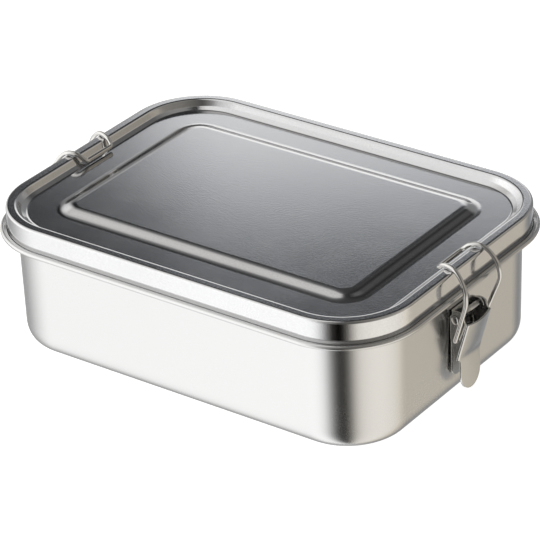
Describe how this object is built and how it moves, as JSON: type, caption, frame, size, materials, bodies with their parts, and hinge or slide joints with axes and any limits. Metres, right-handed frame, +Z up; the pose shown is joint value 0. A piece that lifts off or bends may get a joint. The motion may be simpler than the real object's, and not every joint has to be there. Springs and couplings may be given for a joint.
{
  "type": "lunch box",
  "caption": "Drawn steel lunch box: rounded rectangular tub with a folded bead, lift-off lid with a raised field and a seal, and a lever draw latch with a wire bail at each end.",
  "frame": {"origin": "on the surface the box stands on, under the centre of the tub", "axes": "+X along the long side towards one latch, +Y along the short side, +Z up"},
  "size_m": [0.2148, 0.1538, 0.0664],
  "materials": {
    "drawn_steel": "satin polished stainless steel",
    "bright_steel": "bright polished stainless wire and rivet",
    "seal": "translucent white silicone"
  },
  "bodies": {
    "tub": {"tub": "drawn_steel", "right_bracket": "drawn_steel", "right_pin": "bright_steel", "left_bracket": "drawn_steel", "left_pin": "bright_steel"},
    "lid": {"lid": "drawn_steel", "lid_seal": "seal"},
    "right_lever": {"right_lever": "drawn_steel"},
    "right_bail": {"right_bail": "bright_steel"},
    "left_lever": {"left_lever": "drawn_steel"},
    "left_bail": {"left_bail": "bright_steel"}
  },
  "joints": [
    {"name": "lid_lift", "type": "slide", "parent": "tub", "child": "lid", "axis": [0, 0, 1], "range_m": [0, 0.09]},
    {"name": "right_lever_hinge", "type": "hinge", "parent": "tub", "child": "right_lever", "pos_m": [0.099, 0, 0.0401], "axis": [0, -1, 0], "range_deg": [0, 90]},
    {"name": "right_bail_hinge", "type": "hinge", "parent": "right_lever", "child": "right_bail", "pos_m": [0.0994, 0, 0.0305], "axis": [0, -1, 0], "range_deg": [-73, 0]},
    {"name": "left_lever_hinge", "type": "hinge", "parent": "tub", "child": "left_lever", "pos_m": [-0.099, 0, 0.0401], "axis": [0, 1, 0], "range_deg": [0, 90]},
    {"name": "left_bail_hinge", "type": "hinge", "parent": "left_lever", "child": "left_bail", "pos_m": [-0.0994, 0, 0.0305], "axis": [0, 1, 0], "range_deg": [-73, 0]}
  ],
  "couplings": [
    {"joint": "right_bail_hinge", "follows": "right_lever_hinge", "ratio": -0.8},
    {"joint": "left_bail_hinge", "follows": "left_lever_hinge", "ratio": -0.8}
  ]
}
